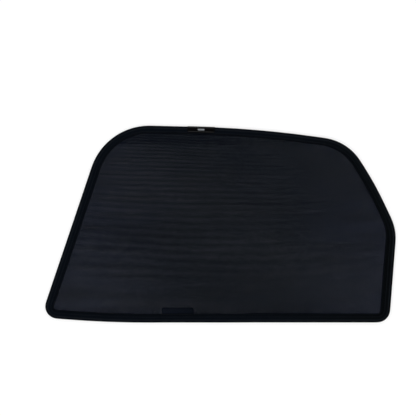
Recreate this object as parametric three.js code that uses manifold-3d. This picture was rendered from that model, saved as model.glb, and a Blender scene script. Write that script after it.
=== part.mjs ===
// Car side window sunshade: a sheet of dark sun mesh in a hem of folded tape. A sprung wire
// loop inside the fold keeps it taut, and magnets in the hem hold it on the door's frame.
// Millimetres. The shade lies on its back: X runs along the window, Y up the window and Z
// out of its front. The origin lies under the middle of its box, on the back of the hem.

import * as THREE from 'three';
import * as BufferGeometryUtils from 'three/addons/utils/BufferGeometryUtils.js';
import Module from 'manifold-3d';

const wasm = await Module();
wasm.setup();

// Room between two pieces that touch.
const clearance = 0.3;

// Hem, from the rim to its inner edge: narrower along the top and wider on the upright right side.
const sideHem = 20;
const rightHem = 22.6;
const topHem = 17.5;
const tape = 0.8;

// Box of the rim. Its corners' sharp points are measured from the ends and edges of that box,
// and each is rounded. A bend is a corner so wide that it only bows its side.
const shadeLength = 800;
const shadeHeight = 450;
const lowerLeftPastEnd = 10;
const lowerLeftRise = 12;
const lowerLeftRadius = 28;
const bottomBendFromLeft = 142;
const bottomBendRadius = 2400;
const lowerRightFromRight = 15;
const lowerRightRise = 0.5;
const lowerRightRadius = 29;
const rightPastEnd = 2;
const rightRise = 213;
const rightRadius = 110;
const slopeBendFromRight = 46;
const slopeBendDrop = 135.5;
const slopeBendRadius = 770;
const upperRightFromRight = 109.5;
const upperRightDrop = 35.5;
const upperRightRadius = 115;
const topBendFromRight = 322;
const topBendDrop = 6;
const topBendRadius = 2400;
const upperLeftFromLeft = 138.5;
const upperLeftPastTop = 2;
const upperLeftRadius = 139;
const magnetsBelow = 4;
const magnetsRight = 1;
const magnetsOnSlope = 2;
const magnetsAbove = 3;
const magnetsLeft = 2;

// Least radius left inside a corner, and how far a flat step may lie off its arc.
const leastRadius = 1;
const chordError = 0.12;

// Sprung wire loop and the sleeve crimped over its two ends.
const wireDiameter = 3;
const wireSides = 10;
const wireEndGap = 1;
const wireJointX = 520;
const sleeveLength = 32;
const sleeveWall = 0.4;
const crimpClearance = 0.1;
const sleeveSides = 20;

// Magnets beside the wire.
const magnetLength = 20;
const magnetWidth = 8;
const magnetThickness = 2;
const magnetCorner = 1.5;

// Sun mesh: ridges along the window with rows of slots in the valleys between them.
const meshThickness = 0.6;
const ridgePitch = 9;
const valleyWidth = 4.5;
const valleyDepth = 0.3;
const valleyMargin = 3;
const slotLength = 30;
const slotHeight = 3;
const slotColumnPitch = 50;
const valleysPerSlotRow = 5;
// How far a cutter reaches past the sheet on each side.
const cutPast = 1;

// Tape's fold round the wire, the step down beside the magnets and the sewn seam.
const foldSteps = 8;
const stepRun = 1.1;
const stepLean = 0.5;
const seamFromInnerEdge = 1.2;
const seamWidth = 0.8;
const seamDepth = 0.4;
const threadThickness = 0.3;
const threadWidth = 0.4;

// Glossy label wrapped over the top hem, with a plain raised badge.
const labelX = 357;
const labelLength = 62;
const labelThickness = 0.5;
const labelWrapBelow = 40;
const badgeInset = 6.7;
const badgeLength = 16.5;
const badgeWidth = 4.4;
const badgeThickness = 0.4;

// Blank cloth tag held in the bottom seam, behind the mesh.
const tagX = 302;
const tagLength = 72;
const tagVisible = 13.5;
const tagTucked = 12;
const tagThickness = 0.4;

// Stack of the hem, from its back up, and the places across the hem, from the rim inwards.
const wireRadius = wireDiameter / 2;
const sleeveRadius = wireRadius + crimpClearance + sleeveWall;
const foldInner = sleeveRadius + clearance;
const foldOuter = foldInner + tape;
const pocketStart = foldOuter + sleeveRadius + clearance;
const pocketEnd = pocketStart + magnetWidth + clearance;
const stepEnd = pocketEnd + stepRun;
const tagBase = tape + clearance;
const meshBase = tagBase + tagThickness + clearance;
const meshTop = meshBase + meshThickness;
const magnetBase = meshTop + clearance;
const seamUnder = meshTop + clearance;
const seamTop = seamUnder + tape;
const pocketUnder = magnetBase + magnetThickness + clearance;
const pocketTop = pocketUnder + tape;
const threadBase = seamTop - seamDepth + clearance;
const labelBase = pocketTop + clearance;
const labelTop = labelBase + labelThickness;
const badgeBase = labelTop + clearance;

// Materials
function material(color, roughness, metalness) {
  return new THREE.MeshStandardMaterial({ color, roughness, metalness });
}
const tapeCloth = material(0x0d1014, 0.85, 0);
const sunMesh = material(0x1b1e25, 0.8, 0);
const springSteel = material(0x8d9196, 0.35, 1);
const crimpMetal = material(0xb4b7ba, 0.4, 1);
const magnetNickel = material(0x9ea2a5, 0.3, 1);
const sewingThread = material(0x14171b, 0.7, 0);
const labelRubber = material(0x08090b, 0.25, 0);
const badgeSilver = material(0xd5d8da, 0.3, 0.8);
const tagCloth = material(0x0c0f13, 0.8, 0);

// Line of the rim, anticlockwise from the lower left. Each corner gives the hem's width and
// the number of magnets on the side that starts there.
const rim = [
  {
    name: 'lower left',
    x: -lowerLeftPastEnd,
    y: lowerLeftRise,
    radius: lowerLeftRadius,
    hem: sideHem,
    magnets: magnetsBelow,
  },
  { name: 'bottom bend', x: bottomBendFromLeft, y: 0, radius: bottomBendRadius, hem: sideHem, bend: true },
  {
    name: 'lower right',
    x: shadeLength - lowerRightFromRight,
    y: lowerRightRise,
    radius: lowerRightRadius,
    hem: rightHem,
    magnets: magnetsRight,
  },
  {
    name: 'right',
    x: shadeLength + rightPastEnd,
    y: rightRise,
    radius: rightRadius,
    hem: sideHem,
    magnets: magnetsOnSlope,
  },
  {
    name: 'slope bend',
    x: shadeLength - slopeBendFromRight,
    y: shadeHeight - slopeBendDrop,
    radius: slopeBendRadius,
    hem: sideHem,
    bend: true,
  },
  {
    name: 'upper right',
    x: shadeLength - upperRightFromRight,
    y: shadeHeight - upperRightDrop,
    radius: upperRightRadius,
    hem: topHem,
    magnets: magnetsAbove,
  },
  {
    name: 'top bend',
    x: shadeLength - topBendFromRight,
    y: shadeHeight - topBendDrop,
    radius: topBendRadius,
    hem: topHem,
    bend: true,
  },
  {
    name: 'upper left',
    x: upperLeftFromLeft,
    y: shadeHeight + upperLeftPastTop,
    radius: upperLeftRadius,
    hem: sideHem,
    magnets: magnetsLeft,
  },
];
const corners = rim.length;
const cornerNamed = Object.fromEntries(rim.map((corner, i) => [corner.name, i]));
const after = (i) => (i + 1) % corners;
const before = (i) => (i + corners - 1) % corners;

/** The side that starts at corner i of the rim: where it starts, its direction and the way in. */
function sideOf(i, inset) {
  const corner = rim[i];
  const next = rim[after(i)];
  const along = new THREE.Vector2(next.x - corner.x, next.y - corner.y).normalize();
  const inward = new THREE.Vector2(-along.y, along.x);
  const start = new THREE.Vector2(corner.x, corner.y).addScaledVector(inward, inset);
  return { along, inward, start };
}

/** The point where the lines of two sides meet. */
function meeting(first, second) {
  const gap = second.start.clone().sub(first.start);
  const reach = gap.cross(second.along) / first.along.cross(second.along);
  return first.start.clone().addScaledVector(first.along, reach);
}

const turns = rim.map((corner, i) => {
  const arriving = sideOf(before(i), 0).along;
  const leaving = sideOf(i, 0).along;
  return Math.atan2(arriving.cross(leaving), arriving.dot(leaving));
});
const arcSteps = turns.map((turn, i) => {
  const widest = 2 * Math.acos(1 - chordError / rim[i].radius);
  return Math.max(2, Math.ceil(Math.abs(turn) / widest));
});

// First and last place of each corner's arc in every ring of places round the rim.
const arcStart = arcSteps.map((steps, i) => arcSteps.slice(0, i).reduce((sum, s) => sum + s + 1, 0));
const arcEnd = arcStart.map((start, i) => start + arcSteps[i]);

/** Places round the shade at an inset from the rim, in line with those at any other inset. */
function ring(insetOf) {
  const insets = rim.map(insetOf);
  const sides = rim.map((corner, i) => sideOf(i, insets[i]));
  const points = rim.map((corner, i) => meeting(sides[before(i)], sides[i]));
  const radii = rim.map((corner, i) => {
    const inset = (insets[before(i)] + insets[i]) / 2;
    // A corner that turns the other way has its centre outside the rim.
    if (turns[i] < 0) return -corner.radius - inset;
    return Math.max(corner.radius - inset, leastRadius);
  });
  const runs = radii.map((radius, i) => radius * Math.tan(turns[i] / 2));
  const places = [];
  rim.forEach((corner, i) => {
    const lengthBefore = points[i].distanceTo(points[before(i)]);
    const lengthAfter = points[i].distanceTo(points[after(i)]);
    const share = Math.min(
      1,
      lengthBefore / (runs[before(i)] + runs[i]),
      lengthAfter / (runs[i] + runs[after(i)]),
    );
    const radius = radii[i] * share;
    const from = sides[before(i)];
    const centre = points[i].clone().addScaledVector(from.along, -runs[i] * share);
    centre.addScaledVector(from.inward, radius);
    const heading = from.along.angle();
    for (let k = 0; k <= arcSteps[i]; k += 1) {
      const angle = heading + (turns[i] * k) / arcSteps[i];
      const spoke = new THREE.Vector2(Math.sin(angle), -Math.cos(angle));
      places.push(centre.clone().addScaledVector(spoke, radius));
    }
  });
  return places;
}

const fromRim = (distance) => () => distance;
const fromInnerEdge = (distance) => (corner) => corner.hem - distance;

const rimRing = ring(fromRim(0));
const box = new THREE.Box2().setFromPoints(rimRing);
const middle = box.getCenter(new THREE.Vector2());

/** The place at station s of a ring: a fraction lies between two of the ring's places. */
function placeAt(places, s) {
  const i = Math.floor(s);
  const at = (k) => places[(k + places.length) % places.length];
  return at(i).clone().lerp(at(i + 1), s - i);
}

/** The station where a run of a ring passes x. */
function stationAtX(places, [first, last], x) {
  for (let i = first; i < last; i += 1) {
    const a = placeAt(places, i).x;
    const b = placeAt(places, i + 1).x;
    if ((a - x) * (b - x) <= 0) return i + (x - a) / (b - a);
  }
  throw new Error(`no place at ${x}`);
}

/** Place and heading at a distance along a ring from one of its places. */
function walk(places, from, distance) {
  let left = distance;
  let s = from;
  while (placeAt(places, s).distanceTo(placeAt(places, s + 1)) < left) {
    left -= placeAt(places, s).distanceTo(placeAt(places, s + 1));
    s += 1;
  }
  const here = placeAt(places, s);
  const next = placeAt(places, s + 1);
  const heading = next.clone().sub(here).angle();
  return { place: here.clone().lerp(next, left / here.distanceTo(next)), heading };
}

function lengthBetween(places, from, to) {
  let length = 0;
  for (let i = from; i < to; i += 1) {
    length += placeAt(places, i).distanceTo(placeAt(places, i + 1));
  }
  return length;
}

// Solids

/** A closed surface of these triangles, with its faces turned outwards. */
function closedGeometry(positions, triangles) {
  let volume = 0;
  const [a, b, c] = [new THREE.Vector3(), new THREE.Vector3(), new THREE.Vector3()];
  for (const [i, j, k] of triangles) {
    a.fromArray(positions, i * 3);
    b.fromArray(positions, j * 3);
    c.fromArray(positions, k * 3);
    volume += a.dot(b.cross(c));
  }
  const outward = volume < 0 ? triangles.map(([i, j, k]) => [i, k, j]) : triangles;
  const geometry = new THREE.BufferGeometry();
  geometry.setAttribute('position', new THREE.Float32BufferAttribute(positions, 3));
  geometry.setIndex(outward.flat());
  geometry.computeVertexNormals();
  return geometry;
}

/** Sweeps a closed section of [inset, height] points round the shade, or between two stations. */
function sweep(section, from, to) {
  const rings = section.map(([insetOf]) => ring(insetOf));
  const count = section.length;
  const open = from !== undefined;
  const stations = [];
  if (open) {
    stations.push(from);
    for (let s = Math.floor(from) + 1; s < to; s += 1) stations.push(s);
    stations.push(to);
  } else {
    for (let s = 0; s < rings[0].length; s += 1) stations.push(s);
  }
  const positions = [];
  for (const s of stations) {
    section.forEach(([, height], j) => {
      const place = placeAt(rings[j], s);
      positions.push(place.x - middle.x, place.y - middle.y, height);
    });
  }
  const triangles = [];
  const steps = open ? stations.length - 1 : stations.length;
  for (let i = 0; i < steps; i += 1) {
    const here = i * count;
    const next = ((i + 1) % stations.length) * count;
    for (let j = 0; j < count; j += 1) {
      const k = (j + 1) % count;
      triangles.push([here + j, next + j, next + k], [here + j, next + k, here + k]);
    }
  }
  if (open) {
    const face = section.map(([insetOf, height]) => new THREE.Vector2(insetOf(rim[0]), height));
    const backwards = THREE.ShapeUtils.isClockWise(face);
    const end = (stations.length - 1) * count;
    for (const [i, j, k] of THREE.ShapeUtils.triangulateShape(face, [])) {
      const [b, c] = backwards ? [k, j] : [j, k];
      triangles.push([i, b, c], [end + i, end + c, end + b]);
    }
  }
  return closedGeometry(positions, triangles);
}

/** Section points on an arc round the middle of the wire: 0 degrees points to the mesh. */
function foldArc(radius, fromDegrees, toDegrees, steps) {
  const points = [];
  for (let k = 0; k <= steps; k += 1) {
    const angle = THREE.MathUtils.degToRad(fromDegrees + ((toDegrees - fromDegrees) * k) / steps);
    points.push([fromRim(foldOuter + radius * Math.cos(angle)), foldOuter + radius * Math.sin(angle)]);
  }
  return points;
}

/** A solid to cut and join, from a closed geometry. */
function solidOf(geometry) {
  const bare = geometry.clone();
  bare.deleteAttribute('normal');
  bare.deleteAttribute('uv');
  const merged = BufferGeometryUtils.mergeVertices(bare, 1e-5);
  return new wasm.Manifold(new wasm.Mesh({
    numProp: 3,
    vertProperties: new Float32Array(merged.attributes.position.array),
    triVerts: new Uint32Array(merged.index.array),
  }));
}

function geometryOf(solid) {
  const mesh = solid.getMesh();
  const geometry = new THREE.BufferGeometry();
  geometry.setAttribute('position', new THREE.BufferAttribute(new Float32Array(mesh.vertProperties), 3));
  geometry.setIndex(new THREE.BufferAttribute(new Uint32Array(mesh.triVerts), 1));
  geometry.computeVertexNormals();
  return geometry;
}

function plate(shape, thickness, base) {
  const geometry = new THREE.ExtrudeGeometry(shape, { depth: thickness, bevelEnabled: false });
  return geometry.translate(0, 0, base);
}

/** A flat bar with rounded corners, lying along X at a height. */
function roundedBar(length, width, corner, thickness, base) {
  const shape = new THREE.Shape();
  const [x, y] = [length / 2, width / 2];
  const r = Math.min(corner, x, y);
  shape.moveTo(x - r, -y);
  shape.absarc(x - r, -y + r, r, -Math.PI / 2, 0);
  shape.absarc(x - r, y - r, r, 0, Math.PI / 2);
  shape.absarc(-x + r, y - r, r, Math.PI / 2, Math.PI);
  shape.absarc(-x + r, -y + r, r, Math.PI, 1.5 * Math.PI);
  const settings = { depth: thickness, bevelEnabled: false, curveSegments: 4 };
  return new THREE.ExtrudeGeometry(shape, settings).translate(0, 0, base);
}

function piece(name, geometry, finish) {
  const mesh = new THREE.Mesh(geometry, finish);
  mesh.name = name;
  return mesh;
}

// Hem tape: one strip folded round the wire, with the seam's groove along its inner edge
function edgeBinding() {
  const section = [
    [fromInnerEdge(0), 0],
    ...foldArc(foldOuter, 270, 90, foldSteps),
    [fromRim(pocketStart), pocketTop],
    [fromRim(pocketEnd + stepLean), pocketTop],
    [fromRim(stepEnd + stepLean), seamTop],
    [fromInnerEdge(seamFromInnerEdge + seamWidth / 2), seamTop],
    [fromInnerEdge(seamFromInnerEdge), seamTop - seamDepth],
    [fromInnerEdge(seamFromInnerEdge - seamWidth / 2), seamTop],
    [fromInnerEdge(0), seamTop],
    [fromInnerEdge(0), seamUnder],
    [fromRim(stepEnd), seamUnder],
    [fromRim(pocketEnd), pocketUnder],
    [fromRim(pocketStart), pocketUnder],
    ...foldArc(foldInner, 90, 270, foldSteps),
    [fromInnerEdge(0), tape],
  ];
  return piece('edge_binding', sweep(section), tapeCloth);
}

// Stitching laid in the seam's groove
function seamThread() {
  const half = threadWidth / 2;
  const section = [
    [fromInnerEdge(seamFromInnerEdge + half), threadBase + threadThickness],
    [fromInnerEdge(seamFromInnerEdge - half), threadBase + threadThickness],
    [fromInnerEdge(seamFromInnerEdge), threadBase],
  ];
  return piece('seam_thread', sweep(section), sewingThread);
}

// Sprung wire and its crimped sleeve
const wireRing = ring(fromRim(foldOuter));
const bottomRun = [arcEnd[cornerNamed['bottom bend']], arcStart[cornerNamed['lower right']]];
const wireJoint = stationAtX(wireRing, bottomRun, wireJointX);

function frameWire() {
  const section = foldArc(wireRadius, 0, 360 - 360 / wireSides, wireSides - 1);
  const halfGap = wireEndGap / 2 / lengthBetween(wireRing, ...bottomRun);
  const turn = wireRing.length;
  return piece('frame_wire', sweep(section, wireJoint + halfGap, wireJoint + turn - halfGap), springSteel);
}

function wireSleeve() {
  const shape = new THREE.Shape();
  shape.absarc(0, 0, sleeveRadius, 0, 2 * Math.PI);
  const bore = new THREE.Path();
  bore.absarc(0, 0, wireRadius + crimpClearance, 0, 2 * Math.PI);
  shape.holes.push(bore);
  const geometry = new THREE.ExtrudeGeometry(shape, {
    depth: sleeveLength,
    bevelEnabled: false,
    curveSegments: sleeveSides / 2,
  });
  geometry.translate(0, 0, -sleeveLength / 2);
  geometry.rotateY(Math.PI / 2);
  const place = placeAt(wireRing, wireJoint);
  const next = placeAt(wireRing, bottomRun[1]);
  const sleeve = piece('wire_sleeve', geometry, crimpMetal);
  sleeve.position.set(place.x - middle.x, place.y - middle.y, foldOuter);
  sleeve.rotation.z = next.sub(place).angle();
  return sleeve;
}

// Magnets, spread evenly along each side between its corners
function magnets() {
  const line = ring(fromRim(pocketStart + magnetWidth / 2));
  const found = [];
  rim.forEach((corner, i) => {
    if (corner.bend) return;
    const end = rim[after(i)].bend ? after(after(i)) : after(i);
    const from = arcEnd[i];
    const to = arcStart[end] + (end < i ? line.length : 0);
    const length = lengthBetween(line, from, to);
    for (let k = 0; k < corner.magnets; k += 1) {
      const { place, heading } = walk(line, from, (length * (k + 0.5)) / corner.magnets);
      const number = String(found.length + 1).padStart(2, '0');
      const bar = roundedBar(magnetLength, magnetWidth, magnetCorner, magnetThickness, magnetBase);
      const magnet = piece(`magnet_${number}`, bar, magnetNickel);
      magnet.position.set(place.x - middle.x, place.y - middle.y, 0);
      magnet.rotation.z = heading;
      found.push(magnet);
    }
  });
  return found;
}

// Sun mesh: one thin wall whose front is ridged and whose valleys hold rows of slots
function meshPanel() {
  const outline = new THREE.Shape(ring(fromRim(pocketStart)).map((p) => p.sub(middle)));
  const window = ring(fromInnerEdge(-valleyMargin)).map((p) => p.sub(middle));
  const low = Math.min(...window.map((p) => p.y));
  const high = Math.max(...window.map((p) => p.y));
  const width = box.max.x - box.min.x;
  const sheet = solidOf(plate(outline, meshThickness, meshBase));
  const view = solidOf(plate(new THREE.Shape(window), valleyDepth + cutPast, meshTop - valleyDepth));
  const bars = [];
  const slots = [];
  const rows = Math.floor((high - low) / ridgePitch);
  for (let row = 0; row < rows; row += 1) {
    const y = low + (row + 0.5) * ridgePitch;
    const bar = new THREE.BoxGeometry(width, valleyWidth, 2 * (valleyDepth + cutPast));
    bars.push(solidOf(bar.translate(0, y, meshTop)));
    if (row % valleysPerSlotRow !== Math.floor(valleysPerSlotRow / 2)) continue;
    const [left, right] = spanAt(window, y - slotHeight, y + slotHeight);
    const columns = Math.floor((right - left) / slotColumnPitch);
    for (let column = 0; column < columns; column += 1) {
      const x = (left + right) / 2 + (column - (columns - 1) / 2) * slotColumnPitch;
      const slot = new THREE.BoxGeometry(slotLength, slotHeight, 2 * (meshThickness + cutPast));
      slots.push(solidOf(slot.translate(x, y, meshBase)));
    }
  }
  const valleys = wasm.Manifold.union(bars).intersect(view);
  const panel = sheet.subtract(valleys).subtract(wasm.Manifold.union(slots));
  return piece('mesh_panel', geometryOf(panel), sunMesh);
}

/** Where a closed outline lies, from left to right, all over a band of heights. */
function spanAt(outline, from, to) {
  let [left, right] = [-Infinity, Infinity];
  for (const y of [from, to]) {
    const crossings = [];
    outline.forEach((a, i) => {
      const b = outline[(i + 1) % outline.length];
      if ((a.y - y) * (b.y - y) < 0) crossings.push(a.x + ((b.x - a.x) * (y - a.y)) / (b.y - a.y));
    });
    left = Math.max(left, Math.min(...crossings));
    right = Math.min(right, Math.max(...crossings));
  }
  return [left, right];
}

// Label over the top hem and its badge
const topRun = [arcEnd[cornerNamed['upper right']], arcStart[cornerNamed['upper left']]];

function topLabel() {
  const under = foldOuter + clearance;
  const over = under + labelThickness;
  const wrapEnd = 180 + labelWrapBelow;
  const section = [
    [fromRim(pocketEnd), labelBase],
    [fromRim(pocketStart), labelBase],
    ...foldArc(under, 90, wrapEnd, foldSteps),
    ...foldArc(over, wrapEnd, 90, foldSteps),
    [fromRim(pocketStart), labelTop],
    [fromRim(pocketEnd), labelTop],
  ];
  const from = stationAtX(rimRing, topRun, labelX + labelLength / 2);
  const to = stationAtX(rimRing, topRun, labelX - labelLength / 2);
  return piece('top_label', sweep(section, from, to), labelRubber);
}

function labelBadge() {
  const line = ring(fromRim(badgeInset));
  const s = stationAtX(line, topRun, labelX);
  const next = placeAt(line, Math.floor(s));
  const place = placeAt(line, s);
  const bar = roundedBar(badgeLength, badgeWidth, badgeWidth / 2, badgeThickness, badgeBase);
  const badge = piece('label_badge', bar, badgeSilver);
  badge.position.set(place.x - middle.x, place.y - middle.y, 0);
  badge.rotation.z = next.sub(place).angle();
  return badge;
}

// Tag tucked into the bottom hem, behind the mesh
function backTag() {
  const innerEdge = ring(fromInnerEdge(0));
  const wholeRun = [arcEnd[cornerNamed['lower left']], bottomRun[1]];
  const place = placeAt(innerEdge, stationAtX(innerEdge, wholeRun, tagX));
  const height = tagVisible + tagTucked;
  const geometry = new THREE.BoxGeometry(tagLength, height, tagThickness);
  const tag = piece('back_tag', geometry, tagCloth);
  tag.position.set(place.x - middle.x, place.y - middle.y, tagBase);
  tag.position.y += tagVisible - height / 2;
  tag.position.z += tagThickness / 2;
  return tag;
}

const sunshade = new THREE.Group();
sunshade.add(edgeBinding(), seamThread(), frameWire(), wireSleeve(), ...magnets());
sunshade.add(meshPanel(), topLabel(), labelBadge(), backTag());

export default sunshade;
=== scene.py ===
"""Looks of a car side window sunshade: taped and sewn hem, open sun mesh, label, badge and tag.

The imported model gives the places. Lengths are in metres. The shade lies flat with its front up, and
the camera looks straight down on it.
"""

import logging
import math
from dataclasses import dataclass, field
from enum import Enum
from itertools import chain
from typing import Callable, Iterator, NamedTuple, Union

import bpy
import numpy as np
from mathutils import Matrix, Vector

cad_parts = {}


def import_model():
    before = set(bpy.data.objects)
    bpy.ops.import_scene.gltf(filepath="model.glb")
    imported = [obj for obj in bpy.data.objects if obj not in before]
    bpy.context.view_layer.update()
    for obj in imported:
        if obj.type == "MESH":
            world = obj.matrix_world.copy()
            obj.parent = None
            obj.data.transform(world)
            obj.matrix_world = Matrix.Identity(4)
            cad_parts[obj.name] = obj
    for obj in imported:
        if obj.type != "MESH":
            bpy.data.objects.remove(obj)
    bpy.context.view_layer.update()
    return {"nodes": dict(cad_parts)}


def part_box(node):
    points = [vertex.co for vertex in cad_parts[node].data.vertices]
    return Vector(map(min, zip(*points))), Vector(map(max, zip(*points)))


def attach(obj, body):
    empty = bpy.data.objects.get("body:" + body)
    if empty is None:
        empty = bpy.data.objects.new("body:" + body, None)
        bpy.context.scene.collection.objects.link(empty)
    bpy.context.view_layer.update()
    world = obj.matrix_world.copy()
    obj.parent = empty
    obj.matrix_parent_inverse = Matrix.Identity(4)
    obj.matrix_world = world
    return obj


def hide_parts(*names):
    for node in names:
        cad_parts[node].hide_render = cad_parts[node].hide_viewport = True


LOG = logging.getLogger("sunshade")
MM = 0.001
Color = tuple[float, float, float]
Places = np.ndarray


# Shader maths


class Signal:
    """A node's socket that can stand in a written sum."""

    def __init__(self, graph: "Graph", socket: bpy.types.NodeSocket) -> None:
        """Keeps the socket and the node tree it belongs to."""
        self.graph = graph
        self.socket = socket

    def join(self, operation: str, *values: Union["Signal", float]) -> "Signal":
        """Adds one Math node.

        Args:
            operation: The Math node's operation.
            values: Its inputs in order, as sockets or numbers.

        Returns:
            The Math node's value.
        """
        return self.graph.node("ShaderNodeMath", {"operation": operation}, dict(enumerate(values)))

    def __add__(self, other: Union["Signal", float]) -> "Signal":
        """Sum of two values."""
        return self.join("ADD", self, other)

    __radd__ = __add__

    def __sub__(self, other: Union["Signal", float]) -> "Signal":
        """This value less another."""
        return self.join("SUBTRACT", self, other)

    def __rsub__(self, other: float) -> "Signal":
        """A number less this value."""
        return self.join("SUBTRACT", other, self)

    def __mul__(self, other: Union["Signal", float]) -> "Signal":
        """Product of two values."""
        return self.join("MULTIPLY", self, other)

    __rmul__ = __mul__

    def __pow__(self, other: float) -> "Signal":
        """This value to a power."""
        return self.join("POWER", self, other)

    def sine(self) -> "Signal":
        """Sine of this value in radians."""
        return self.join("SINE", self)

    def size(self) -> "Signal":
        """This value without its sign."""
        return self.join("ABSOLUTE", self)

    def larger(self, other: "Signal") -> "Signal":
        """The larger of two values."""
        return self.join("MAXIMUM", self, other)

    def ramp(self, low: float, high: float) -> "Signal":
        """A soft step from 0 at low to 1 at high.

        Args:
            low: The value at which the step starts.
            high: The value at which it ends. It may be the lower of the two.

        Returns:
            The step's height, from 0 to 1.
        """
        inputs = {"Value": self, "From Min": low, "From Max": high}
        return self.graph.node("ShaderNodeMapRange", {"interpolation_type": "SMOOTHSTEP"}, inputs)


class Graph:
    """A node tree in the making."""

    def __init__(self, tree: bpy.types.NodeTree) -> None:
        """Keeps the tree that the nodes go into."""
        self.tree = tree

    def feed(self, target: bpy.types.NodeSocket, value: Union[Signal, float, Color]) -> None:
        """Puts a value or a link into a socket.

        Args:
            target: The socket to fill.
            value: A signal to link, or a plain number, colour or vector.
        """
        if isinstance(value, Signal):
            self.tree.links.new(value.socket, target)
        elif target.type == "RGBA":
            target.default_value = (*value, 1.0)
        else:
            target.default_value = value

    def node(
        self,
        kind: str,
        settings: dict | None = None,
        inputs: dict | None = None,
        output: Union[int, str] = 0,
    ) -> Signal:
        """Adds a node.

        Args:
            kind: The node's type.
            settings: Its settings, set before its sockets.
            inputs: Values or signals by socket name or number.
            output: The output to hand back.

        Returns:
            The chosen output.
        """
        made = self.tree.nodes.new(kind)
        for key, value in (settings or {}).items():
            setattr(made, key, value)
        for key, value in (inputs or {}).items():
            self.feed(made.inputs[key], value)
        return Signal(self, made.outputs[output])

    def place(self) -> Signal:
        """Object coordinates."""
        return self.node("ShaderNodeTexCoord", output="Object")

    def axes(self, vector: Signal) -> tuple[Signal, Signal, Signal]:
        """Splits a vector.

        Args:
            vector: The vector to split.

        Returns:
            Its three parts.
        """
        first = self.node("ShaderNodeSeparateXYZ", inputs={0: vector})
        outputs = first.socket.node.outputs
        return Signal(self, outputs[0]), Signal(self, outputs[1]), Signal(self, outputs[2])

    def seen(self) -> Signal:
        """1 for rays from the eye, mirrored or let through, and 0 for the rest."""
        path = self.node("ShaderNodeLightPath").socket.node.outputs
        kinds = ("Camera", "Glossy", "Transmission")
        eye, mirrored, through = (Signal(self, path[f"Is {kind} Ray"]) for kind in kinds)
        return eye.larger(mirrored).larger(through)

    def stretched(self, scale: tuple[float, float, float], turn: float = 0.0) -> Signal:
        """Object coordinates, turned about Z and then scaled.

        Args:
            scale: The factor along each axis.
            turn: The angle about Z in radians.

        Returns:
            The mapped coordinates.
        """
        inputs = {"Vector": self.place(), "Rotation": (0.0, 0.0, turn), "Scale": scale}
        return self.node("ShaderNodeMapping", {}, inputs)

    def noise(self, vector: Signal, scale: float, detail: float = 2.0, rough: float = 0.5) -> Signal:
        """Cloudy variation from about 0 to 1.

        Args:
            vector: Where the pattern is read.
            scale: How many features lie in one unit.
            detail: How many finer layers are added.
            rough: How strong the finer layers are.

        Returns:
            The pattern's value.
        """
        inputs = {"Vector": vector, "Scale": scale, "Detail": detail, "Roughness": rough}
        return self.node("ShaderNodeTexNoise", {}, inputs)

    def mix(
        self,
        factor: Union[Signal, float],
        first: Union[Signal, Color],
        second: Union[Signal, Color],
    ) -> Signal:
        """Blends two colours.

        Args:
            factor: 0 gives the first, 1 the second.
            first: A colour or a signal.
            second: A colour or a signal.

        Returns:
            The blended colour.
        """
        return self.node("ShaderNodeMix", {"data_type": "RGBA"}, {0: factor, 6: first, 7: second}, 2)

    @staticmethod
    def ridge(value: Signal, middle: float, half: float) -> Signal:
        """A soft band.

        Args:
            value: The value that the band lies on.
            middle: Where the band is full.
            half: How far from there it fades to nothing.

        Returns:
            1 in the band's middle and 0 beyond its edges.
        """
        return (value - middle).size().ramp(half, 0.0)

    def bump(self, height: Signal, depth: float) -> Signal:
        """A surface normal from a height.

        Args:
            height: The relief, from 0 to 1.
            depth: The relief's full depth.

        Returns:
            The bent normal.
        """
        return self.node("ShaderNodeBump", {}, {"Strength": 1.0, "Distance": depth, "Height": height})


class Shader(Graph):
    """A material in the making, with one Principled surface."""

    def __init__(self, name: str, **surface: Union[float, Color]) -> None:
        """Starts a material.

        Args:
            name: The material's name.
            surface: Even values of the surface, with underscores for the spaces in their names.
        """
        self.material = bpy.data.materials.new(name)
        self.material.use_nodes = True
        super().__init__(self.material.node_tree)
        self.surface = self.tree.nodes["Principled BSDF"]
        for key, value in surface.items():
            self.set(key.replace("_", " "), value)

    def set(self, name: str, value: Union[Signal, float, Color]) -> None:
        """Gives one socket of the surface a link, a number or a colour."""
        self.feed(self.surface.inputs[name], value)

    def flat(self, name: str) -> tuple[Signal, Signal]:
        """The two parts of a piece's own UV map, in metres of cloth."""
        parts = self.axes(self.node("ShaderNodeUVMap", {"uv_map": name}))
        return parts[0], parts[1]


def shade(color: Color, factor: float) -> Color:
    """A colour made lighter or darker.

    Args:
        color: The colour to change.
        factor: What each part is multiplied by.

    Returns:
        The changed colour.
    """
    return (color[0] * factor, color[1] * factor, color[2] * factor)


# Finishes


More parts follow.
